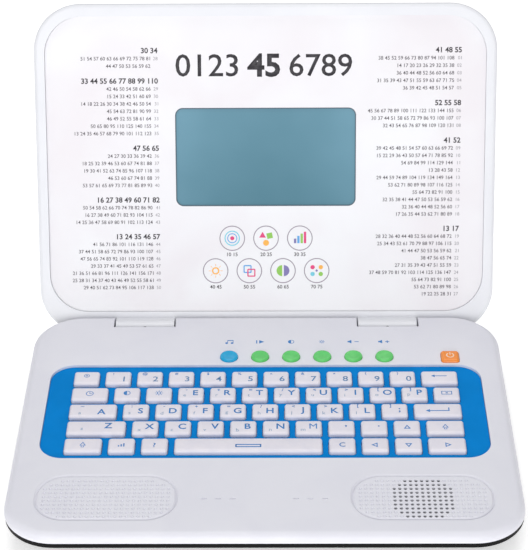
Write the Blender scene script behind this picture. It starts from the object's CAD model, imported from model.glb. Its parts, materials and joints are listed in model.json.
# %% [markdown]
# # A toy laptop computer
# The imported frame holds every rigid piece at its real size. This lesson adds what a
# modeller adds on top: the finish of each plastic, the print on the keys and the lid,
# the dimpled grilles, and the light.

# %% Load the frame
import json
import math
import random

import bpy
import bmesh
from mathutils import Matrix, Vector


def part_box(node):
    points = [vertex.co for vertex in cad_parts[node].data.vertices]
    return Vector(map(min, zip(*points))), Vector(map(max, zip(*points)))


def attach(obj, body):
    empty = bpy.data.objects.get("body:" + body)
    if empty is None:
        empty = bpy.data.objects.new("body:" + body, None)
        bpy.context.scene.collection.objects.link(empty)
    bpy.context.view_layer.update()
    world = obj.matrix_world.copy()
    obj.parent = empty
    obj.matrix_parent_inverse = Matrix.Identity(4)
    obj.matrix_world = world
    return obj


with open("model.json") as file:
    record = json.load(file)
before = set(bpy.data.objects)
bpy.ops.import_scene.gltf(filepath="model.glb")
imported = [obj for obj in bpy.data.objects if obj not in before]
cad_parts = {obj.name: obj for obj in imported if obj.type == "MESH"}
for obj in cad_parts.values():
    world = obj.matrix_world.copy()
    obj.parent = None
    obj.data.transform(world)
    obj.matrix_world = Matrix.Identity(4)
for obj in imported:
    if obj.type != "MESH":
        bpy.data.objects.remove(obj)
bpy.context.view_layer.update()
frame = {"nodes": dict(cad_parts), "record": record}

# %% [markdown]
# Everything below is written in millimetres and turned to metres in one place. Boxes of
# the frame's nodes give the places, so the print always lands on its key. The lid turns
# about its two hinge pins, so their box gives the axis.

# %% Units and places
MM = 0.001


def node_box(name):
    """Lowest and highest corner of a node, in millimetres."""
    low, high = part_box(name)
    return Vector(low) / MM, Vector(high) / MM


top_case_high = node_box("top_case")[1]
base_top, back_edge = top_case_high.z, top_case_high.y
pins_low, pins_high = node_box("hinge_pins")
hinge_axis = Vector((0, (pins_low.y + pins_high.y) / 2, (pins_low.z + pins_high.z) / 2))
print("flat top at", round(base_top, 2), "back edge at", round(back_edge, 2))
print("hinge axis at", [round(v, 2) for v in hinge_axis])

# %% [markdown]
# The finishes come first. Each one starts from what the real piece is made of. Colours
# are written as sRGB hex values and one function turns them to linear light, because the
# shader mixes light and not screen values. One small function adds a node, and every
# finish is built with it.

# %% Colour and node helpers


def linear(code):
    """An sRGB hex colour as linear red, green, blue and a full alpha."""
    parts = [int(code[i:i + 2], 16) / 255 for i in (1, 3, 5)]
    return [p / 12.92 if p <= 0.04045 else ((p + 0.055) / 1.055) ** 2.4 for p in parts] + [1.0]


def add(finish, kind, settings=None, links=None, **values):
    """Adds a node to a finish, sets its sockets and links others into it."""
    made = finish.node_tree.nodes.new(kind)
    for name, value in values.items():
        setattr(made, name, value)
    for name, value in (settings or {}).items():
        made.inputs[name].default_value = value
    for name, source in (links or {}).items():
        finish.node_tree.links.new(source, made.inputs[name])
    return made


def plain(name, colour, roughness, ior=1.5, metallic=0.0):
    """A new finish with its shader: the start of every material here."""
    finish = bpy.data.materials.new(name)
    finish.use_nodes = True
    shader = finish.node_tree.nodes["Principled BSDF"]
    shader.inputs["Base Color"].default_value = linear(colour)
    shader.inputs["Roughness"].default_value = roughness
    shader.inputs["IOR"].default_value = ior
    shader.inputs["Metallic"].default_value = metallic
    return finish


def ramp(finish, source, *stops):
    """Adds a colour ramp of two stops, each a place from 0 to 1 and a colour."""
    made = add(finish, "ShaderNodeValToRGB", None, {"Fac": source})
    for stop, (place, colour) in zip(made.color_ramp.elements, stops):
        stop.position = place
        stop.color = linear(colour)
    return made.outputs["Color"]


def into_shader(finish, socket, source):
    """Links a node's output into the finish's shader."""
    finish.node_tree.links.new(source, finish.node_tree.nodes["Principled BSDF"].inputs[socket])


print("white is", linear("#FFFFFF"))

# %% [markdown]
# A moulded surface is never quite even. The melt flows and cools in wide soft clouds,
# which show as a breath of difference in colour and in gloss, and the steel of the mould
# leaves a fine grain that breaks up the highlights. So one function mixes two colours
# that are close together by a wide noise, lets the same noise move the roughness a
# little, and adds a fine noise as bump. A real grain is 0.1 to 0.3 mm wide, too fine to
# show where the whole toy fills the view, so on shells and keys it is drawn 0.7 mm wide
# or more.

# %% Moulded surface


def moulded(name, light, dark, roughness, flow_mm, grain_mm, depth_mm,
            spread=0.04, ior=1.5, metallic=0.0):
    """Two close colours in clouds flow_mm wide, roughness that follows them, and a fine grain."""
    finish = plain(name, light, roughness, ior, metallic)
    place = add(finish, "ShaderNodeTexCoord").outputs["Object"]
    clouds = add(finish, "ShaderNodeTexNoise",
                 {"Scale": 1 / (flow_mm * MM), "Detail": 3.0, "Distortion": 0.6},
                 {"Vector": place})
    tint = ramp(finish, clouds.outputs["Fac"], (0.36, dark), (0.64, light))
    gloss = add(finish, "ShaderNodeMapRange",
                {"From Min": 0.3, "From Max": 0.7,
                 "To Min": roughness + spread, "To Max": roughness - spread},
                {"Value": clouds.outputs["Fac"]})
    noise = add(finish, "ShaderNodeTexNoise", {"Scale": 1 / (grain_mm * MM), "Detail": 2.0},
                {"Vector": place})
    bump = add(finish, "ShaderNodeBump", {"Strength": 1.0, "Distance": depth_mm * MM},
               {"Height": noise.outputs["Fac"]})
    into_shader(finish, "Base Color", tint)
    into_shader(finish, "Roughness", gloss.outputs["Result"])
    into_shader(finish, "Normal", bump.outputs["Normal"])
    return finish


print("a grain of 0.7 mm needs a noise scale of", round(1 / (0.7 * MM)))

# %% [markdown]
# The shells are injection-moulded ABS. The upper base shell is a cool light grey with a
# spark-eroded satin, so highlights are wide and soft. The lid is a whiter ABS from a
# smoother mould, so it reads as cleaner and a little glossier. The lower shell is black
# with a coarser grain, which keeps it dull; its weak reflection is a lowered IOR.

# %% Shell finishes
base_abs = moulded("satin_moulded_abs_light_grey", "#E0E0E7", "#DDDDE5", 0.42, 34, 0.8, 0.004)
lid_abs = moulded("smooth_moulded_abs_white", "#E2E3E7", "#DFE0E5", 0.34, 45, 1.1, 0.002)
black_abs = moulded("grained_moulded_abs_black", "#090809", "#060506", 0.6, 22, 0.8, 0.012, ior=1.25)
print("shells:", base_abs.name, lid_abs.name, black_abs.name)

# %% [markdown]
# The keyboard plate is a saturated blue ABS, matt enough to keep its colour when the
# light is low. Its reflection is weak, so its IOR is set well under the 1.5 of plain ABS.
# Keys are white ABS, tumbled after moulding, which leaves them slightly warm and silky.

# %% Plate and key finishes
blue_abs = moulded("matt_moulded_abs_blue", "#0082D0", "#007DC8", 0.55, 30, 0.9, 0.004, ior=1.12)
key_abs = moulded("silky_moulded_abs_key_white", "#E3DFE6", "#DEDBE4", 0.4, 9, 0.7, 0.004)
print("keys:", blue_abs.name, key_abs.name)

# %% [markdown]
# The lid's panel is a printed sheet under a clear lacquer. Its white holds very faint
# pinkish drifts, wider than a hand, as a printer's background tint. The lacquer dries
# with a slight orange peel, waves about 3 mm wide, which the bump draws.

# %% Panel sheet finish
panel_sheet = moulded("lacquered_printed_sheet_white", "#E6E6E9", "#E2DEE2", 0.32, 75, 3.0, 0.004,
                      spread=0.03)
print("panel:", panel_sheet.name)

# %% [markdown]
# The round buttons and the power button are small ABS mouldings from polished cavities:
# clean pigment, a tight soft highlight, and flow clouds only a few millimetres wide.

# %% Button finishes
green_abs = moulded("polished_moulded_abs_green", "#66D070", "#5BC765", 0.22, 6, 0.7, 0.003)
teal_abs = moulded("polished_moulded_abs_button_blue", "#17A9D9", "#12A0D0", 0.22, 6, 0.7, 0.003)
orange_abs = moulded("polished_moulded_abs_orange", "#F59238", "#EE8830", 0.22, 6, 0.7, 0.003)
print("buttons:", green_abs.name, teal_abs.name, orange_abs.name)

# %% [markdown]
# The display is a teal-grey liquid crystal glass behind a clear acrylic window. Such a
# sheet shows the glass's own colour under one smooth reflection, so the window is drawn
# that way. A hard coat of low index quietens the reflection, so its IOR is under the 1.49
# of bare acrylic. The glass is lighter towards its upper edge and ends, where the
# polariser film lets light back: the height in the window, the square of the way to its
# ends and a wide soft noise are added up and pick the colour from a ramp.

# %% Display finishes
display_glass = moulded("liquid_crystal_glass", "#467687", "#3E6C7D", 0.25, 30, 2.0, 0.001)
clear_acrylic = plain("hard_coated_clear_acrylic_window", "#417182", 0.28, 1.25)
window_low, window_high = node_box("display_window")
half_width = (window_high.x - window_low.x) / 2 * MM


def window_step(operation, value, factor, plus=None):
    """One step of the sum: a value with a factor, and what is added to them."""
    links = {0: value} if plus is None else {0: value, 2: plus}
    return add(clear_acrylic, "ShaderNodeMath", {1: factor}, links, operation=operation).outputs[0]


window_place = add(clear_acrylic, "ShaderNodeTexCoord").outputs["Object"]
window_split = add(clear_acrylic, "ShaderNodeSeparateXYZ", None, {"Vector": window_place})
window_height = add(clear_acrylic, "ShaderNodeMapRange",
                    {"From Min": window_low.z * MM, "From Max": window_high.z * MM, "To Max": 0.35},
                    {"Value": window_split.outputs["Z"]})
window_film = add(clear_acrylic, "ShaderNodeTexNoise", {"Scale": 1 / (28 * MM), "Detail": 1.0},
                  {"Vector": window_place})
to_ends = window_step("MULTIPLY", window_split.outputs["X"], 1 / half_width)
squared = window_step("POWER", to_ends, 2.0)
both = window_step("MULTIPLY_ADD", squared, 0.45, window_height.outputs["Result"])
all_three = window_step("MULTIPLY_ADD", window_film.outputs["Fac"], 0.3, both)
into_shader(clear_acrylic, "Base Color",
            ramp(clear_acrylic, all_three, (0.15, "#4A7B8C"), (0.95, "#6A98AB")))
print("window", round(window_low.z, 1), "to", round(window_high.z, 1), "mm up")

# %% [markdown]
# What is inside or under the toy gets working finishes. Boards are glass fibre under
# green lacquer, whose weave, 0.6 mm a thread, shows faintly through. The dome sheets are
# milky silicone, soft to the eye. Screws and pins are zinc-plated steel, whose gloss
# changes every few millimetres. The speaker cone is pressed black paper, nearly without
# gloss, the cells wear a printed jacket and the feet are matt dark rubber.

# %% Inner finishes
board_lacquer = moulded("green_lacquered_glass_fibre", "#1F7039", "#195F31", 0.34, 0.6, 1.2, 0.01)
silicone = moulded("milky_silicone_rubber", "#E2E2DA", "#D8D8D0", 0.55, 14, 0.9, 0.006)
plated_steel = moulded("zinc_plated_steel", "#BFC0C3", "#AFB0B4", 0.3, 2.5, 0.5, 0.004,
                       spread=0.08, metallic=1.0)
speaker_paper = moulded("pressed_paper_cone", "#2A2A2E", "#212125", 0.8, 1.2, 0.4, 0.03)
cell_print = moulded("printed_steel_cell_jacket", "#617F93", "#57778C", 0.38, 18, 0.6, 0.003)
foot_rubber = moulded("moulded_dark_rubber", "#37373A", "#2F2F32", 0.75, 5, 0.6, 0.02)
print(len(bpy.data.materials), "finishes so far")

# %% [markdown]
# Print on the toy is pad-printed or screen-printed ink, pressed on through a fine mesh.
# The mesh leaves the colour very slightly uneven, in spots half a millimetre wide, and
# the ink dries to an even, low gloss, so print looks a little duller than the plastic.

# %% Inks


def ink(name, colour, uneven):
    """A dried ink film: its colour, and the one that its uneven spots have."""
    return moulded(name, colour, uneven, 0.48, 0.5, 0.5, 0.002)


ink_blue = ink("pad_print_blue", "#1F72B8", "#2C7DC0")
ink_digit = ink("pad_print_steel_blue", "#4A7CAC", "#5787B4")
ink_soft = ink("pad_print_soft_blue", "#86A2BE", "#93ADC6")
ink_pale = ink("pad_print_pale", "#F6D9C0", "#EFCFB4")
ink_dark = ink("screen_print_charcoal", "#2F2C31", "#38353A")
ink_text = ink("screen_print_grey", "#4E4A50", "#575359")
ink_light = ink("screen_print_light_grey", "#858188", "#8D8990")
ink_border = ink("screen_print_window_border", "#3F5866", "#48616E")
print(len(bpy.data.materials), "finishes with the inks")

# %% [markdown]
# Each node of the frame takes its finish by the record's own slot, so no node is missed.
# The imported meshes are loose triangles. A Weld modifier joins them, and an Edge Split
# keeps the corners crisp while the round edges shade smoothly.

# %% Dress the frame's nodes
finish_of_slot = {
    "case_light": base_abs, "lid_white": lid_abs, "panel_white": panel_sheet,
    "case_black": black_abs, "plate_blue": blue_abs, "key_white": key_abs,
    "button_green": green_abs, "button_blue": teal_abs, "button_orange": orange_abs,
    "silicone": silicone, "circuit_board": board_lacquer, "speaker_dark": speaker_paper,
    "steel": plated_steel, "cell_jacket": cell_print, "foot_rubber": foot_rubber,
    "display_clear": clear_acrylic, "display_glass": display_glass,
}
slot_of_node = {part["node"]: part["material_slot"] for part in frame["record"]["subparts"]}
CRISP_FROM = math.radians(28)
WELD_WITHIN = 0.002
for name, piece in frame["nodes"].items():
    piece.data.materials.clear()
    piece.data.materials.append(finish_of_slot[slot_of_node[name]])
    piece.data.polygons.foreach_set("use_smooth", [True] * len(piece.data.polygons))
    weld = piece.modifiers.new("weld", "WELD")
    weld.merge_threshold = WELD_WITHIN * MM
    split = piece.modifiers.new("crisp_corners", "EDGE_SPLIT")
    split.split_angle = CRISP_FROM
print(len(frame["nodes"]), "nodes dressed")

# %% [markdown]
# Print is ink a few hundredths of a millimetre thick. Each mark is drawn flat at the
# origin and then moved to its surface, and the place is applied, so its object sits at
# the origin as the nodes do. It starts a hair inside the plastic, so no gap can show.

# %% Place a mark
INK = 0.03
SUNK = 0.005


def only(piece):
    """Nothing but this piece is selected and active."""
    bpy.ops.object.select_all(action="DESELECT")
    piece.select_set(True)
    bpy.context.view_layer.objects.active = piece


def settle(piece, place):
    """Puts a finished mesh in its place and applies the place."""
    only(piece)
    piece.matrix_world = place
    bpy.ops.object.transform_apply(location=True, rotation=True, scale=True)
    return piece


def on_top(x, y, z):
    """Place of a mark that lies flat on the base, in millimetres."""
    return Matrix.Translation(Vector((x, y, z)) * MM)


def turned(mark, x, y, degrees=0.0):
    """Moves a mark within its sign, after a turn about its own middle."""
    return settle(mark, on_top(x, y, 0) @ Matrix.Rotation(math.radians(degrees), 4, "Z"))


print("ink is", INK, "mm thick")

# %% [markdown]
# The flat shape comes from the mesh tools, as by hand: a filled circle or a plane at its
# size, and an inset whose middle is deleted where only an outline is wanted. These
# helpers leave the shape open in edit mode, so a sign can still cut it. lift() is the
# last step: it extrudes the shape to the ink's thickness.

# %% Draw a flat shape
CORNER_STEPS = 8


def open_shape():
    """Opens the active mesh in edit mode, choosing by vertices, with all of it selected."""
    bpy.context.tool_settings.mesh_select_mode = (True, False, False)
    bpy.ops.object.mode_set(mode="EDIT")
    bpy.ops.mesh.select_all(action="SELECT")


def choose(kind, test):
    """Selects only those edges or faces of the open shape that pass a test."""
    bpy.context.tool_settings.mesh_select_mode = (False, kind == "edges", kind == "faces")
    bpy.ops.mesh.select_all(action="DESELECT")
    shape = bmesh.from_edit_mesh(bpy.context.object.data)
    for part in getattr(shape, kind):
        part.select_set(test(part))
    bmesh.update_edit_mesh(bpy.context.object.data)


def regular(corners, radius, turn=0.0):
    """Opens a filled regular polygon. Its first corner points up, turned by some degrees."""
    bpy.ops.mesh.primitive_circle_add(vertices=corners, radius=radius * MM, fill_type="NGON",
                                      rotation=(0, 0, math.radians(turn)))
    bpy.ops.object.transform_apply(location=False, rotation=True, scale=False)
    open_shape()


def oblong(width, height, corner=0.0):
    """Opens a filled rectangle, with round corners if asked for."""
    bpy.ops.mesh.primitive_plane_add(size=1)
    open_shape()
    bpy.ops.transform.resize(value=(width * MM, height * MM, 1))
    if corner:
        bpy.ops.mesh.bevel(offset=corner * MM, segments=CORNER_STEPS, affect="VERTICES")
        bpy.ops.mesh.select_all(action="SELECT")


def outlined(line):
    """Leaves only a line of that width along the edge of the open shape."""
    bpy.ops.mesh.inset(thickness=line * MM)
    bpy.ops.mesh.delete(type="FACE")


def without(goes):
    """Deletes the faces of the open shape whose middle, in millimetres, passes a test."""
    choose("faces", lambda face: goes(face.calc_center_median() / MM))
    bpy.ops.mesh.delete(type="FACE")


def lift():
    """Gives the open shape the ink's thickness and leaves edit mode."""
    bpy.ops.mesh.select_all(action="SELECT")
    bpy.ops.mesh.extrude_region_move(TRANSFORM_OT_translate={"value": (0, 0, INK * MM)})
    bpy.ops.mesh.select_all(action="SELECT")
    bpy.ops.mesh.normals_make_consistent(inside=False)
    bpy.ops.object.mode_set(mode="OBJECT")
    return bpy.context.object


print("round corners have", CORNER_STEPS, "steps")

# %% [markdown]
# Figures and letters start as a text object, because a font holds their shapes already.
# Its offset makes the strokes heavier, as a bold face would be. The text is made a mesh
# before anything else, since only a mesh can be joined, placed and exported. Marks that
# share an ink and a body are joined to one piece, as one printing plate carries them.

# %% Set characters and join marks
STROKE_STEPS = 3
HAIR = 0.0015


def glyph(text, size, weight=0.0, ends_right=False, width=0.0):
    """A line of characters made a mesh, centred on its own middle or ending there."""
    bpy.ops.object.text_add(location=(0, 0, 0))
    mark = bpy.context.object
    mark.data.body = text
    mark.data.size = size * MM
    mark.data.offset = weight * MM
    mark.data.resolution_u = STROKE_STEPS
    only(mark)
    bpy.ops.object.convert(target="MESH")
    mark = bpy.context.object
    across = [v.co.x for v in mark.data.vertices]
    along = [v.co.y for v in mark.data.vertices]
    middle = max(across) if ends_right else (min(across) + max(across)) / 2
    stretch = width * MM / (max(across) - min(across)) if width else 1.0
    mark.data.transform(Matrix.Diagonal((stretch, 1, 1, 1)) @
                        Matrix.Translation((-middle, -(min(along) + max(along)) / 2, 0)))
    open_shape()
    bpy.ops.mesh.remove_doubles(threshold=WELD_WITHIN * MM)
    return lift()


def joined(pieces):
    """Joins pieces to the first of them."""
    only(pieces[0])
    for piece in pieces:
        piece.select_set(True)
    if len(pieces) > 1:
        bpy.ops.object.join()
    return bpy.context.view_layer.objects.active


def copy_of(piece):
    """A copy that has its own mesh."""
    twin = piece.copy()
    twin.data = piece.data.copy()
    bpy.context.scene.collection.objects.link(twin)
    return twin


def together(name, marks, finish, body):
    """Joins marks to one piece, gives it its ink and lets it ride on its body.

    Marks that cross are printed one after the other, so each next one lies a hair higher."""
    for order, mark in enumerate(marks):
        mark.data.transform(on_top(0, 0, HAIR * (order % 4)))
    piece = joined(marks)
    piece.name = name
    piece.data.name = name
    piece.data.materials.clear()
    piece.data.materials.append(finish)
    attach(piece, body)
    return piece


print("marks that cross lie", HAIR, "mm apart")

# %% [markdown]
# Signs are built from a few plain shapes. Each is one primitive and at most one more
# operation. The sun's ray is modelled once and copied round.

# %% Sign shapes


def disc(radius, steps=24):
    regular(steps, radius)
    return lift()


def ring(outer, inner, steps=48):
    regular(steps, outer)
    outlined(outer - inner)
    return lift()


def half_disc(radius):
    regular(32, radius)
    bpy.ops.mesh.bisect(plane_co=(0, 0, 0), plane_no=(1, 0, 0), clear_outer=True)
    return lift()


def bar(width, height):
    oblong(width, height)
    return lift()


def bars(*sizes):
    """Bars of a sign, each given as its width, its height and its place."""
    return [turned(bar(width, height), x, y) for width, height, x, y in sizes]


def open_box(width, height, line, corner=0.3):
    oblong(width, height, corner)
    outlined(line)
    return lift()


def solid_triangle(radius, turn=0.0):
    regular(3, radius, turn)
    return lift()


def open_triangle(radius, turn=0.0, line=0.6):
    regular(3, radius, turn)
    outlined(line)
    return lift()


def sun(inner):
    """A ring with eight rays. One ray is modelled and copied round with its own mesh."""
    ray = turned(bar(0.34, inner * 0.62), 0, inner * 1.55)
    rays = [ray] + [turned(copy_of(ray), 0, 0, 45 * k) for k in range(1, 8)]
    return [ring(inner, inner * 0.62, 24)] + rays


def half_ring(radius):
    """The sign for sound: a ring whose left half is filled."""
    return [ring(radius, radius * 0.8, 32), half_disc(radius * 0.8)]


print("the sign shapes are ready")

# %% [markdown]
# The digit keys carry the digit at the right of the cap and a small shift sign at its
# upper left. Digits are steel blue and the small signs a deeper blue.

# %% Digits on the number keys
DIGIT_SIZE, DIGIT_AT = 7.0, (3.6, -1.9)
DIGIT_SIGN_SIZE, DIGIT_SIGN_AT = 3.2, (-3.0, 3.2)


def middle_of(name):
    """Middle of a node's top, where its ink starts."""
    low, high = node_box(name)
    return Vector(((low.x + high.x) / 2, (low.y + high.y) / 2, high.z - SUNK))


def print_at(mark, middle, shift):
    """Puts a mark on a key or button, so far across and back from its middle."""
    return settle(mark, on_top(middle.x + shift[0], middle.y + shift[1], middle.z))


for digit, sign in zip("1234567890", "!@#$%^&*()"):
    key = "key_" + digit
    figure = print_at(glyph(digit, DIGIT_SIZE, 0.06), middle_of(key), DIGIT_AT)
    together("digit_" + digit, [figure], ink_digit, key)
    small = print_at(glyph(sign, DIGIT_SIGN_SIZE, 0.05), middle_of(key), DIGIT_SIGN_AT)
    together("digit_sign_" + digit, [small], ink_blue, key)
print("ten digit keys printed, digits", DIGIT_SIZE, "mm in size")

# %% [markdown]
# A row of lettered keys is one node. Its box gives the row's two ends and the key pitch
# gives the rest; the first key of a row may be wider, so its middle comes from the box.
# The box takes in a flange that each cap hides under the plate, and half the gap between
# two caps lies on either side of a key's share of the pitch.

# %% Middles of the lettered keys
PITCH = 19.11
FLANGE = 0.8
GAP = 3.75


def row_middles(row, count):
    """Where the keys of a row lie across, counted from its right-hand end."""
    low, high = node_box(row)
    last = high.x - FLANGE + GAP / 2 - PITCH / 2
    middles = [last - (count - 1 - i) * PITCH for i in range(count)]
    middles[0] = (low.x + FLANGE + middles[1] - PITCH / 2 - GAP / 2) / 2
    return middles


print("middle row:", [round(x, 1) for x in row_middles("letter_keys_middle", 10)])

# %% [markdown]
# Each key has a bold capital at the right, a small letter at the left, and on the upper
# rows a short sign. The first two caps of the upper row carry the sound and light signs.
# A row lists its letters and two pairs of places, counted from a key's middle: those of
# the capital and the small letter, and the same for the row's first, wider key. The
# letter M keeps its plain stroke, because a heavier one would fill its corners.

# %% Letters on the lettered keys
CAPITAL_SIZE, SMALL_SIZE, CORNER_SIZE = 7.0, 4.0, 3.6
CORNER_SIGN_AT = (-2.5, 3.2)
SOUND_R, LIGHT_R, PICTURE_SHIFT = 2.1, 1.35, 0.2
ROWS = {
    "letter_keys_upper": ("..ERTYUIOP", (2.8, 0.5), (-3.6, -2.2), (0, 0), (0, 0)),
    "letter_keys_middle": ("ASDFGHJKL;", (2.8, -0.9), (-3.6, -3.2), (5.2, -1.7), (-7.5, -3.2)),
    "letter_keys_lower": ("ZXCVBNM,.", (2.6, 0.4), (-3.3, -3.1), (7.1, 1.2), (-8.2, -1.9)),
}
CORNER_SIGNS = {"letter_keys_upper": "..-+=/<>[]", "letter_keys_middle": "~:-+=/<>[]"}
for row, (letters, capital_at, small_at, first_capital, first_small) in ROWS.items():
    middle = middle_of(row)
    capitals, smalls, corners = [], [], []
    for i, (letter, x) in enumerate(zip(letters, row_middles(row, len(letters)))):
        middle.x = x
        if row == "letter_keys_upper" and i < 2:
            picture = half_ring(SOUND_R) if i == 0 else sun(LIGHT_R)
            capitals += [print_at(mark, middle, (0, PICTURE_SHIFT)) for mark in picture]
            continue
        big_at, little_at = (capital_at, small_at) if i else (first_capital, first_small)
        capital = glyph(letter, CAPITAL_SIZE, 0.0 if letter == "M" else 0.12)
        capitals.append(print_at(capital, middle, big_at))
        if letter.isalpha():
            smalls.append(print_at(glyph(letter.lower(), SMALL_SIZE, 0.02), middle, little_at))
        if row in CORNER_SIGNS:
            shift = (CORNER_SIGN_AT[0] + little_at[0] - small_at[0], CORNER_SIGN_AT[1])
            corners.append(print_at(glyph(CORNER_SIGNS[row][i], CORNER_SIZE, 0.08), middle, shift))
    together(row + "_capitals", capitals, ink_blue, row)
    together(row + "_small", smalls, ink_soft, row)
    if corners:
        together(row + "_signs", corners, ink_blue, row)
    print(row, len(capitals), "large marks,", len(smalls), "small letters")

# %% [markdown]
# The keys around the letters carry signs that every keyboard has, such as a long arrow,
# a clock, a boxed cross, open arrows and an open box for the space bar.

# %% Signs on the function keys


def long_arrow():
    return bars((7.4, 0.62, 0.7, 0)) + [turned(solid_triangle(1.5, 90), -3.6, 0)]


def clock():
    return [ring(2.3, 1.85, 40)] + bars((0.4, 1.5, 0, 0.55), (1.1, 0.4, 0.75, 0))


def return_arrow():
    head = turned(solid_triangle(1.7, 90), -5.6, -0.8)
    return bars((12.0, 0.7, 0.8, -0.8)) + [head] + bars((0.7, 2.6, 6.45, 0.85))


def shift_arrow():
    """An open triangle on an open stem whose upper line is left out."""
    oblong(1.9, 1.5)
    outlined(0.42)
    without(lambda middle: middle.y > 0.4)
    return [turned(lift(), 0, -1.35), turned(open_triangle(2.2, 0, 0.45), 0, 0.62)]


def rising_bars():
    return bars((0.8, 1.2, -1.5, -0.9), (0.8, 2.1, 0, -0.45), (0.8, 3.0, 1.5, 0))


function_signs = {
    "key_exit": (1.4, lambda: [ring(1.7, 1.32, 32), glyph("×", 2.9, 0.06)]),
    "key_back": (0.7, long_arrow),
    "key_clock": (-0.2, clock),
    "key_delete": (0.0, lambda: [open_box(6.4, 3.4, 0.5), glyph("×", 3.4, 0.06)]),
    "key_enter": (-0.4, return_arrow),
    "key_shift_left": (-0.6, shift_arrow),
    "key_shift_right": (-0.6, shift_arrow),
    "key_level": (-0.6, rising_bars),
    "key_help": (-0.8, lambda: [glyph("?", 5.6, 0.08)]),
    "key_space": (-1.4, lambda: [open_box(15, 2.8, 0.8)]),
    "key_clear": (-0.6, lambda: [glyph("C", 5.4, 0.08)]),
    "key_up": (-0.9, lambda: [open_triangle(2.4, 0)]),
    "key_left": (-0.9, lambda: [open_triangle(2.4, 90)]),
    "key_down": (-0.7, lambda: [open_triangle(2.4, 180)]),
    "key_right": (-0.9, lambda: [open_triangle(2.4, 270)]),
}
for name, (back, make) in function_signs.items():
    marks = [print_at(mark, middle_of(name), (0, back)) for mark in make()]
    together(name + "_sign", marks, ink_blue, name)
print(len(function_signs), "function keys printed")

# %% [markdown]
# The lid leans back, so its print needs a place that leans too. One function turns a
# point on the lid's face (across, up from the lower edge) into a matrix. Seen from the
# hinge axis of the closed lid, its face looks down and lies FACE_OFFSET above, and the
# printed sheet lies PANEL_SINK deeper in.

# %% Place on the lid
LID_TURN = math.radians(-112)
LID_LOWER_EDGE = 5
FACE_OFFSET = 6.9
PANEL_SINK = 2.0


def on_lid(across, up):
    """Place of a mark on the panel: its X runs across, its Y up and its Z out of the face."""
    turn = Matrix.Rotation(LID_TURN, 4, "X")
    point = hinge_axis + turn @ Vector((across, LID_LOWER_EDGE - up, FACE_OFFSET + PANEL_SINK + SUNK))
    axes = Matrix(((1, 0, 0), (0, -1, 0), (0, 0, -1))).transposed().to_4x4()
    return Matrix.Translation(point * MM) @ turn @ axes


print("panel origin", [round(v, 1) for v in on_lid(0, 0).translation / MM])

# %% [markdown]
# Under the display stand seven ringed pictures. The rings are grey and the shapes inside
# are screen-printed spot colours: clear, bright inks mixed for the job.

# %% Spot inks
SPOTS = {"pink": ("#E0357A", "#DC2F73"), "green": ("#8CC850", "#86C149"), "sky": ("#5AA6E0", "#539FDA"),
         "cyan": ("#6FCBDD", "#68C4D6"), "amber": ("#F6B345", "#F2AC3D"), "violet": ("#7D74AE", "#776EA8")}
spot_ink = {name: ink("spot_print_" + name, *pair) for name, pair in SPOTS.items()}
ring_ink = ink("screen_print_ring_grey", "#8D8390", "#958B98")
print(len(spot_ink), "spot inks")

# %% [markdown]
# A picture is a list of shapes, each with the ink that it is printed in. All shapes of
# one ink are joined over the seven pictures, because one screen prints them at once.

# %% What the seven pictures show


def target():
    return [("cyan", ring(4.9, 4.2, 40)), ("sky", ring(3.2, 2.6, 32)), ("pink", disc(1.3))]


def three_shapes():
    return [("pink", turned(solid_triangle(2.5), -2.2, 1.6)),
            ("green", turned(bar(3.6, 3.6), 2.3, 1.6, 12)),
            ("amber", turned(disc(1.9), 0, -3.0))]


def bar_chart():
    columns = (("violet", 3.0, -3.0, -1.8), ("sky", 4.8, -0.9, -0.9),
               ("green", 6.2, 1.2, -0.2), ("pink", 7.4, 3.3, 0.4))
    return [(name, turned(bar(1.5, height), x, y)) for name, height, x, y in columns]


def amber_sun():
    return [("amber", ray) for ray in sun(2.4)]


def two_squares():
    return [(name, turned(open_box(5.2, 5.2, 0.8, 0.8), x, -x)) for name, x in (("sky", -1.1), ("pink", 1.3))]


def two_halves():
    return [("green", turned(half_disc(3.6), -0.5, 0)), ("violet", turned(half_disc(3.6), 0.5, 0, 180))]


def five_spots():
    corners = (("pink", -2.6, 2.2), ("amber", 2.6, 2.2), ("cyan", -2.6, -2.2), ("green", 2.6, -2.2))
    return [(name, turned(disc(1.4), x, y)) for name, x, y in corners] + \
           [("violet", turned(bar(1.3, 1.3), 0, 0, 45))]


PICTURES = (target, three_shapes, bar_chart, amber_sun, two_squares, two_halves, five_spots)
print(len(PICTURES), "pictures:", [picture.__name__ for picture in PICTURES])

# %% [markdown]
# The rings stand in two rows, three over four, each row centred on the display. A plain
# number stands under each one.

# %% Ringed pictures on the panel
RING_ACROSS, RING_UP, RING_DROP = 21.4, 61.7, 21.0
RING_R, RING_LINE = 8.1, 0.6
CAPTION_SIZE, CAPTION_DROP = 3.3, 10.4
places = [((i - 1) * RING_ACROSS, RING_UP) for i in range(3)] + \
         [((i - 1.5) * RING_ACROSS, RING_UP - RING_DROP) for i in range(4)]
rings, captions, spots = [], [], {name: [] for name in SPOTS}
for order, ((across, up), picture) in enumerate(zip(places, PICTURES)):
    rings.append(settle(ring(RING_R, RING_R - RING_LINE, 64), on_lid(across, up)))
    caption = glyph("%d %d" % (10 * order + 10, 10 * order + 15), CAPTION_SIZE, 0.04)
    captions.append(settle(caption, on_lid(across, up - CAPTION_DROP)))
    for name, mark in picture():
        spots[name].append(settle(mark, on_lid(across, up)))
together("picture_rings", rings, ring_ink, "lid")
together("picture_numbers", captions, ink_dark, "lid")
for name, marks in spots.items():
    together("picture_" + name, marks, spot_ink[name], "lid")
print(len(places), "pictures with", sum(map(len, spots.values())), "coloured marks")

# %% [markdown]
# The window is framed by a thin dark printed line, where the sheet's cut edge is. It is
# an open box with round corners, about half of it inside the edge and half outside.

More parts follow.
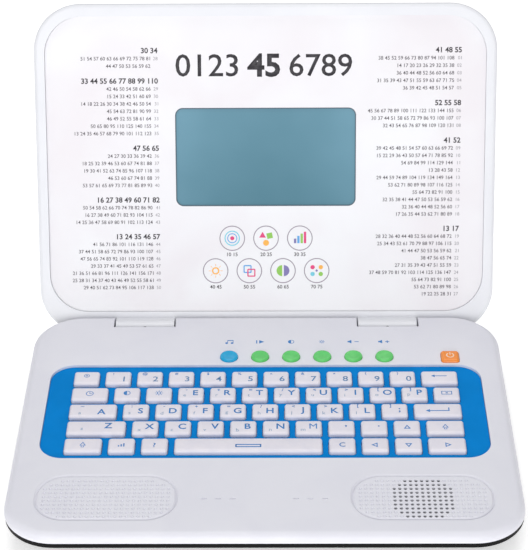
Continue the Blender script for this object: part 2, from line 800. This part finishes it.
# %% Line around the window
WINDOW_WIDTH, WINDOW_HEIGHT, WINDOW_UP, WINDOW_CORNER = 112.6, 61.6, 113.4, 4.5
BORDER_LINE, BORDER_OUT = 0.7, 0.3
border = open_box(WINDOW_WIDTH + 2 * BORDER_OUT, WINDOW_HEIGHT + 2 * BORDER_OUT, BORDER_LINE,
                  WINDOW_CORNER + BORDER_OUT)
together("window_border", [settle(border, on_lid(0, WINDOW_UP))], ink_border, "lid")
print("window line", WINDOW_WIDTH + 2 * BORDER_OUT, "by", WINDOW_HEIGHT + 2 * BORDER_OUT)

# %% [markdown]
# The panel's two index columns are drawn as plain numbers: a bold heading, then lines of
# thin figures, each with its line number at the outer edge. Every line counts on in
# steps, and a seeded generator picks the steps and how long the line runs, so no line is
# typed in and each run gives the same ones.

# %% Lines that count on
chance = random.Random(7)
LINE_LENGTHS = {"left_index": (29, 36, 42, 45, 48, 50, 54), "right_index": (18, 22, 27, 33, 40, 46, 52)}
FIGURE_WIDTH = 0.44


def counting(target, size):
    """Figures that count on in even steps, until the line is about as long as asked."""
    value = chance.randrange(10, 60)
    step = chance.choice((3, 4, 7, 9, 11, 15))
    words = [str(value)]
    while (len(" ".join(words)) + 2.5) * size * FIGURE_WIDTH < target:
        value += step
        words.append(str(value))
    return " ".join(words)


print("a figure is", FIGURE_WIDTH, "of its size wide")

# %% [markdown]
# Each column gives its right-hand end, its top, its groups (how many lines, and how long
# the heading is) and its first line number. One line runs on from the line before, so it
# has no number: RUNS_ON gives its column, how many lines its group has, and which of them
# it is, counted from 0. The lines are set against their right-hand end.

# %% Index columns
HEADING_SIZE, LINE_SIZE, NUMBER_SIZE = 4.6, 3.2, 3.0
LINE_STEP, HEADING_DROP, GROUP_DROP = 4.66, 4.93, 9.28
NUMBER_GAP = 4.6
COLUMNS = {
    "left_index": (-67.0, 180.3, [(2, 12), (7, 50), (5, 18), (3, 42), (7, 31)], 28),
    "right_index": (122.0, 180.2, [(5, 16), (3, 19), (10, 13.5), (9, 13.5)], 1),
}
RUNS_ON = ("left_index", 2, 1)
for name, (right_end, up, groups, number) in COLUMNS.items():
    headings, lines, numbers = [], [], []
    for rows, heading_width in groups:
        heading = glyph(counting(heading_width, HEADING_SIZE), HEADING_SIZE, 0.11, ends_right=True)
        headings.append(settle(heading, on_lid(right_end, up)))
        up -= HEADING_DROP
        for row in range(rows):
            figures = counting(chance.choice(LINE_LENGTHS[name]), LINE_SIZE)
            line = glyph(figures, LINE_SIZE, 0.03, ends_right=True)
            lines.append(settle(line, on_lid(right_end - NUMBER_GAP, up)))
            if (name, rows, row) != RUNS_ON:
                line_number = glyph("%02d" % number, NUMBER_SIZE, ends_right=True)
                numbers.append(settle(line_number, on_lid(right_end, up)))
                number += 1
            up -= LINE_STEP
        up -= GROUP_DROP - LINE_STEP
    together(name + "_headings", headings, ink_dark, "lid")
    together(name + "_lines", lines, ink_text, "lid")
    together(name + "_numbers", numbers, ink_light, "lid")
    print(name, len(lines), "lines, last number", number - 1, "ends at", round(up, 1))

# %% [markdown]
# Above the display stands one line of large plain figures, condensed, with a heavier
# pair in the middle. It is as large as a title would be.

# %% Figures above the display
TITLE_SIZE, TITLE_UP = 19.6, 171.0
FIGURES = (("0123", 39.0, -36.4, 0.1), ("45", 20.5, -1.0, 0.5), ("6789", 39.0, 34.5, 0.1))
marks = [settle(glyph(text, TITLE_SIZE, weight, width=wide), on_lid(across, TITLE_UP))
         for text, wide, across, weight in FIGURES]
print("figures", [round(m.dimensions.x / MM, 1) for m in marks], "wide")
together("large_figures", marks, ink_dark, "lid")

# %% [markdown]
# Small signs stand behind the round buttons: notes, a play arrow with a bar, the
# half-filled ring, the sun, and a speaker with a minus and with a plus.

# %% Signs behind the buttons
SIGN_BACK = 16.2


def notes():
    heads = [turned(disc(0.85, 20), x, -1.3) for x in (-1.9, 1.5)]
    return heads + bars((0.4, 2.9, -1.25, 0.1), (0.4, 2.9, 2.15, 0.1), (3.8, 0.75, 0.45, 1.45))


def play_arrow():
    return bars((0.7, 3.4, -2.3, 0)) + [turned(solid_triangle(2.1, 270), 0.3, 0)]


def speaker(louder):
    """A box with a horn, a minus beside it and, for louder, the upright of a plus."""
    regular(3, 2.1, 90)
    bpy.ops.mesh.bisect(plane_co=(-0.3 * MM, 0, 0), plane_no=(-1, 0, 0), clear_outer=True)
    horn = turned(lift(), -1.7, 0)
    marks = bars((1.2, 1.5, -2.5, 0)) + [horn] + bars((2.6, 0.6, 2.5, 0))
    return marks + (bars((0.6, 2.6, 2.5, 0)) if louder else [])


button_signs = {
    "button_music": notes,
    "button_demo": play_arrow,
    "button_sound": lambda: half_ring(1.95),
    "button_light": lambda: sun(1.0),
    "button_volume_down": lambda: speaker(False),
    "button_volume_up": lambda: speaker(True),
}
for name, make in button_signs.items():
    middle = middle_of(name)
    middle.z = base_top - SUNK
    marks = [print_at(mark, middle, (0, SIGN_BACK)) for mark in make()]
    together(name + "_sign", marks, ink_blue, "base")
print(len(button_signs), "signs", SIGN_BACK, "mm behind their buttons")

# %% [markdown]
# The square button carries the usual power sign: a ring open at the top with a bar in
# it. The opening is made by selecting the ring's faces that lie near the top.

# %% Power sign
POWER_R, POWER_LINE = 2.5, 0.7
OPEN_WITHIN = math.radians(32)
middle = middle_of("power_button")
regular(48, POWER_R)
outlined(POWER_LINE)
without(lambda part: part.y > 0 and abs(math.atan2(part.x, part.y)) < OPEN_WITHIN)
marks = [print_at(lift(), middle, (0, 0)), print_at(bar(POWER_LINE, 2.4), middle, (0, 1.7))]
together("power_sign", marks, ink_pale, "power_button")
print("power sign at", [round(v, 1) for v in middle])

# %% [markdown]
# Each grille is a shallow field in the base, filled by a plate of the same plastic with
# a regular pattern of dimples. The plate starts as a thin cube with its upright edges
# bevelled; an inset of its top face that also rises gives it the sloping side, so a
# V-groove runs round it. A last small bevel breaks its upper edge, as a mould does.

# %% Plate before its dimples
FIELD_DEPTH, FIELD_EDGE = 1.0, 1.2
GRILLE_WIDTH, GRILLE_DEPTH, GRILLE_CORNER = 80.8, 39.4, 18.0
PLATE_IN = FIELD_EDGE + 0.1
PLATE_FOOT, PLATE_SLOPE, PLATE_BELOW = 0.16, 0.9, 0.06
PLATE_EDGE_R = 0.2


def plate_blank():
    """The plate before its dimples; its top lies at height 0."""
    bpy.ops.mesh.primitive_cube_add(size=1)
    blank = bpy.context.object
    open_shape()
    bpy.ops.transform.resize(value=((GRILLE_WIDTH - 2 * PLATE_IN) * MM, (GRILLE_DEPTH - 2 * PLATE_IN) * MM,
                                    PLATE_FOOT * MM))
    choose("edges", lambda e: abs(e.verts[0].co.z - e.verts[1].co.z) > PLATE_FOOT * MM / 2)
    bpy.ops.mesh.bevel(offset=(GRILLE_CORNER - PLATE_IN) * MM, segments=16, affect="EDGES")
    choose("faces", lambda f: f.normal.z > 0.9)
    rise = FIELD_DEPTH - PLATE_BELOW - PLATE_FOOT
    bpy.ops.mesh.inset(thickness=PLATE_SLOPE * MM, depth=rise * MM)
    top = PLATE_FOOT / 2 + rise
    choose("edges", lambda e: min(v.co.z for v in e.verts) > (top - 0.01) * MM)
    bpy.ops.mesh.bevel(offset=PLATE_EDGE_R * MM, segments=2, affect="EDGES")
    bpy.ops.object.mode_set(mode="OBJECT")
    return settle(blank, on_top(0, 0, -top))


print("plate", GRILLE_WIDTH - 2 * PLATE_IN, "by", GRILLE_DEPTH - 2 * PLATE_IN, "mm")

# %% [markdown]
# The dimples lie in an even grid that stops short of the plate's round corners. Over the
# speaker a field of them is open; its first and last rows are shorter, so it looks
# rounded.

# %% Where the dimples and holes are
HOLE_STEP = (3.15, 3.36)
HOLE_COLUMNS, HOLE_ROWS, OPEN_COLUMNS = 23, 10, 11
HOLE_FORWARD = 1.4
HOLE_R = 1.0
DIMPLE_R, DIMPLE_DEPTH = 1.05, 0.88
PLATE_RIM = 0.4


def in_plate(x, y):
    """Whether a dimple there stays on the flat of the plate, clear of its round corners."""
    past = math.hypot(max(abs(x) - (GRILLE_WIDTH / 2 - GRILLE_CORNER), 0),
                      max(abs(y) - (GRILLE_DEPTH / 2 - GRILLE_CORNER), 0))
    return past <= GRILLE_CORNER - PLATE_IN - PLATE_SLOPE - DIMPLE_R - PLATE_RIM


def grid():
    """Each dimple's place, and whether it belongs to the open field over a speaker."""
    for j in range(HOLE_ROWS):
        short = max(0, 2 - min(j, HOLE_ROWS - 1 - j))
        for i in range(HOLE_COLUMNS):
            from_middle = i - (HOLE_COLUMNS - 1) / 2
            x, y = from_middle * HOLE_STEP[0], (j - (HOLE_ROWS - 1) / 2) * HOLE_STEP[1]
            if in_plate(x, y):
                yield x, y - HOLE_FORWARD, abs(from_middle) <= (OPEN_COLUMNS - 1) / 2 - short


print(len(list(grid())), "dimples,", sum(opens for x, y, opens in grid()), "can be open")

# %% [markdown]
# The dimples could be a bump in the material, but they catch the light as real hollows,
# so they are cut. One low ball is modelled and copied to each dimple, with a round pin in
# its place where the hole goes right through, and one Boolean cuts them all at once.

# %% Grille plates
GRILLE_X, GRILLE_BACK = 88.3, 178.2


def ball():
    """The tool of one dimple: a low ball whose cap is as wide and deep as the dimple."""
    radius = (DIMPLE_R ** 2 + DIMPLE_DEPTH ** 2) / (2 * DIMPLE_DEPTH)
    bpy.ops.mesh.primitive_uv_sphere_add(segments=14, ring_count=10, radius=radius * MM,
                                         location=(0, 0, (radius - DIMPLE_DEPTH) * MM))
    bpy.ops.object.transform_apply(location=True, rotation=False, scale=False)
    return bpy.context.object


def pin():
    """The tool of one open hole, longer than the plate is thick."""
    bpy.ops.mesh.primitive_cylinder_add(vertices=14, radius=HOLE_R * MM, depth=4 * MM)
    return bpy.context.object


def cutter(over_speaker):
    """All dimple tools of one plate, joined."""
    dimple, hole = ball(), pin()
    tools = []
    for x, y, opens in grid():
        tools.append(copy_of(hole if over_speaker and opens else dimple))
        tools[-1].data.transform(on_top(x, y, 0))
    for spare in (dimple, hole):
        bpy.data.objects.remove(spare)
    return joined(tools)


def grille_plate(name, side):
    """One plate, at the right (1, over the speaker) or at the left (-1)."""
    blank = plate_blank()
    tools = cutter(side > 0)
    only(blank)
    cut = blank.modifiers.new("dimples", "BOOLEAN")
    cut.operation = "DIFFERENCE"
    cut.solver = "EXACT"
    cut.object = tools
    bpy.ops.object.modifier_apply(modifier="dimples")
    bpy.data.objects.remove(tools)
    settle(blank, on_top(side * GRILLE_X, back_edge - GRILLE_BACK, base_top))
    print(name, len(blank.data.polygons), "faces")
    together(name, [blank], base_abs, "base")


grille_plate("grille_plate_right", 1)
grille_plate("grille_plate_left", -1)

# %% [markdown]
# Behind the open holes toys have a thin woven dust cloth, so the holes look black and
# matt. Such a cloth is never quite flat: two crossing sets of waves, 3.8 mm long, draw
# that in the bump. The scale of a wave texture is worked out from the wave's length: at
# a scale of 1, twenty radians of wave fit into a metre.

# %% Dust cloth finish
WAVE_LENGTH, WAVE_RELIEF = 3.77, 0.08
dust_cloth = moulded("woven_black_dust_cloth", "#1B1B1E", "#141417", 0.85, 3.0, 0.6, 0.05)
cloth_place = add(dust_cloth, "ShaderNodeTexCoord").outputs["Object"]
wave_scale = 2 * math.pi / 20 / (WAVE_LENGTH * MM)
waves = [add(dust_cloth, "ShaderNodeTexWave", {"Scale": wave_scale}, {"Vector": cloth_place},
             bands_direction=way) for way in ("X", "Y")]
crossed = add(dust_cloth, "ShaderNodeMath", None,
              {0: waves[0].outputs["Fac"], 1: waves[1].outputs["Fac"]}, operation="MULTIPLY")
cloth_bump = add(dust_cloth, "ShaderNodeBump", {"Distance": WAVE_RELIEF * MM},
                 {"Height": crossed.outputs[0]})
into_shader(dust_cloth, "Normal", cloth_bump.outputs["Normal"])
print("waves at a scale of", round(wave_scale))

# %% [markdown]
# The cloth is as large as the field of open holes. It lies flat on the field's floor,
# just under the plate, so it is an oblong with round corners, as thin as print.

# %% Dust cloth under the speaker holes
CLOTH_CORNER, CLOTH_ABOVE = 8, 0.02
oblong((OPEN_COLUMNS + 0.4) * HOLE_STEP[0], (HOLE_ROWS - 0.1) * HOLE_STEP[1], CLOTH_CORNER)
cloth = settle(lift(), on_top(GRILLE_X, back_edge - GRILLE_BACK - HOLE_FORWARD,
                              base_top - FIELD_DEPTH + CLOTH_ABOVE))
print("cloth", [round(v / MM, 1) for v in cloth.dimensions])
together("speaker_dust_cloth", [cloth], dust_cloth, "base")

# %% [markdown]
# Each hinge lug has a half-round access in front of its pin, and it looks black. A rubber
# plug closes it, flush with the barrel; black rubber keeps almost no light and only a
# wide weak gloss. A plug is a cylinder cut in half at the barrel's front, whose top is
# then laid on the barrel's curve. It turns with the lid.

# %% Plugs in the hinge lugs
PLUG_R, PLUG_LOW, PLUG_HEIGHT = 2.15, -0.9, 6.0
BARREL_R, BARREL_IN, CUT_AT = 6.0, 0.08, 5.9
PIN_LENGTH = 49.0
lug_middle = pins_high.x - PIN_LENGTH / 2
plug_rubber = moulded("black_rubber_plug", "#121214", "#0D0D0F", 0.7, 3.0, 0.3, 0.01)


def access_plug(side):
    """A half-round plug, made around the hinge axis and moved to the lug of one side."""
    bpy.ops.mesh.primitive_cylinder_add(vertices=32, radius=PLUG_R * MM, depth=PLUG_HEIGHT * MM,
                                        location=(0, -BARREL_R * MM, (PLUG_LOW + PLUG_HEIGHT / 2) * MM))
    plug = bpy.context.object
    only(plug)
    bpy.ops.object.transform_apply(location=True, rotation=True, scale=True)
    open_shape()
    bpy.ops.mesh.bisect(plane_co=(0, -CUT_AT * MM, 0), plane_no=(0, -1, 0), use_fill=True,
                        clear_outer=True, threshold=0.001 * MM)
    bpy.ops.object.mode_set(mode="OBJECT")
    for corner in plug.data.vertices:
        if corner.co.z > 0:
            corner.co.z = math.sqrt(((BARREL_R - BARREL_IN) * MM) ** 2 - corner.co.y ** 2)
    return settle(plug, on_top(side * lug_middle, hinge_axis.y, hinge_axis.z))


together("hinge_access_plugs", [access_plug(-1), access_plug(1)], plug_rubber, "lid")
print("plugs", round(lug_middle, 1), "mm to each side of the middle")

# %% [markdown]
# The scene around the part is a pale floor, soft lights and the camera. The floor is
# matt white paper. It glows a little, as the lit sweep of a product table does, so it
# stays even to its edges.

# %% Floor
FLOOR_SIZE, FLOOR_GLOW = 6, 0.40
bpy.ops.mesh.primitive_plane_add(size=FLOOR_SIZE, location=(0, 0, 0))
floor = bpy.context.object
floor.name = "floor"
sweep = moulded("pale_paper_sweep", "#FFFFFF", "#FCFCFC", 0.9, 120, 6.0, 0.01)
sweep_shader = sweep.node_tree.nodes["Principled BSDF"]
sweep_shader.inputs["Emission Color"].default_value = (1, 1, 1, 1)
sweep_shader.inputs["Emission Strength"].default_value = FLOOR_GLOW
floor.data.materials.append(sweep)
print("floor", floor.dimensions.x, "m")

# %% [markdown]
# The light is that of a white studio: an even, faintly cool surround and three wide
# square lamps. One low in front lights the lid's face and the keys' fronts, one higher
# in front lights the whole, and one above and behind lights the flat of the base. Wide
# lamps give soft highlights with no hard shadow.

# %% Light
SURROUND, SURROUND_STRENGTH = (0.985, 0.985, 1.0, 1), 0.40
world = bpy.data.worlds.new("studio")
bpy.context.scene.world = world
world.use_nodes = True
surround = world.node_tree.nodes["Background"].inputs
surround["Color"].default_value = SURROUND
surround["Strength"].default_value = SURROUND_STRENGTH


def soft_light(name, size, power, place, target):
    """A square lamp of that size in metres and power in watts, turned to a point."""
    bpy.ops.object.light_add(type="AREA", location=place)
    lamp = bpy.context.object
    lamp.name = name
    lamp.data.size = size
    lamp.data.energy = power
    lamp.rotation_euler = (Vector(target) - Vector(place)).to_track_quat("-Z", "Y").to_euler()


soft_light("low_front_light", 1.2, 12.5, (0.0, -2.0, 0.5), (0, 0, 0.08))
soft_light("high_front_light", 1.4, 11.2, (-0.3, -1.6, 1.1), (0, 0, 0.08))
soft_light("top_light", 1.2, 10.6, (0.0, 0.45, 1.6), (0, 0, 0))
print("world and three lights")

# %% [markdown]
# The camera looks down on the keys from the front with a long lens, level to within a
# degree, so the lid leans away from it as it does for the child who plays.

# %% Camera
PIXELS_ACROSS = 529
FOCAL_PIXELS = 1879.43
SENSOR = 36
PITCH_DOWN = math.radians(33.4)
YAW = math.radians(-0.6533)
ROLL = math.radians(-0.4971)
CAMERA_SIDE, CAMERA_BEFORE, CAMERA_ABOVE = 10.31, 983.46, 678.98
camera_at = Vector((CAMERA_SIDE, back_edge - CAMERA_BEFORE, base_top + CAMERA_ABOVE)) * MM

forward = Vector((math.sin(YAW) * math.cos(PITCH_DOWN), math.cos(YAW) * math.cos(PITCH_DOWN),
                  -math.sin(PITCH_DOWN)))
level = Vector((math.cos(YAW), -math.sin(YAW), 0))
above = level.cross(forward)
right = math.cos(ROLL) * level + math.sin(ROLL) * above
upward = -math.sin(ROLL) * level + math.cos(ROLL) * above
eye = Matrix((right, upward, -forward)).transposed().to_4x4()
lens = bpy.data.cameras.new("camera")
camera = bpy.data.objects.new("camera", lens)
bpy.context.scene.collection.objects.link(camera)
camera.matrix_world = Matrix.Translation(camera_at) @ eye
lens.sensor_fit = "HORIZONTAL"
lens.sensor_width = SENSOR
lens.lens = FOCAL_PIXELS / PIXELS_ACROSS * SENSOR
lens.clip_start = 0.01
bpy.context.scene.camera = camera
bpy.context.scene.view_settings.view_transform = "Standard"
print("camera", [round(v, 3) for v in camera.location])
